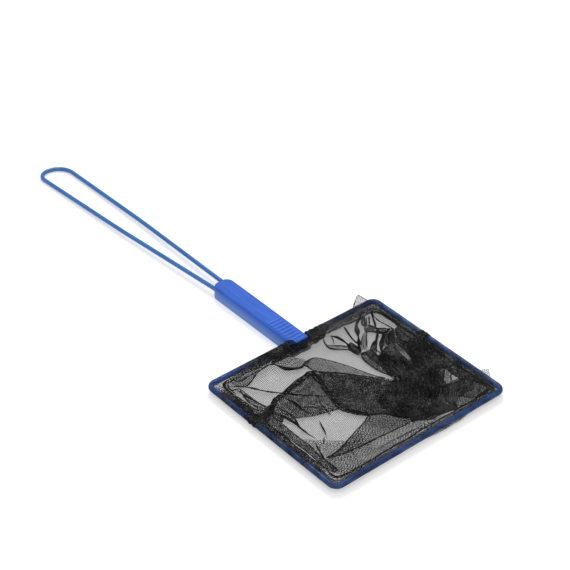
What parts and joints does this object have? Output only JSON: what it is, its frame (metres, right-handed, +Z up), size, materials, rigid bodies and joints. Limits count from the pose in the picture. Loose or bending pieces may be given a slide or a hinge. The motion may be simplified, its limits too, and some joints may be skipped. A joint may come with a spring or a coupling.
{
  "type": "aquarium fish net",
  "caption": "Hand net for an aquarium: a rectangular coated-wire hoop with a fine black mesh bag, a moulded thumb grip and a long coated-wire handle ending in a hanging loop.",
  "frame": {"origin": "on the table under the middle of the net's box", "axes": "+Y from the hoop along the handle to the hanging loop, +Z up, +X along the rear rail of the hoop"},
  "size_m": [0.153, 0.4044, 0.0104],
  "materials": {
    "spring_steel": "satin",
    "blue_vinyl": "satin",
    "blue_plastic": "satin",
    "black_mesh": "matte",
    "black_thread": "matte"
  },
  "bodies": {
    "root": {"hoop_wire": "spring_steel", "hoop_coating": "blue_vinyl", "handle_wire": "spring_steel", "handle_coating": "blue_vinyl", "grip": "blue_plastic", "hem_casing": "black_mesh", "hem_thread": "black_thread", "hem_gather_left": "black_mesh", "hem_gather_right": "black_mesh", "net_bag": "black_mesh", "side_seam_left": "black_thread", "side_seam_right": "black_thread", "seam_tab_left": "black_mesh", "seam_tab_right": "black_mesh"}
  },
  "joints": []
}
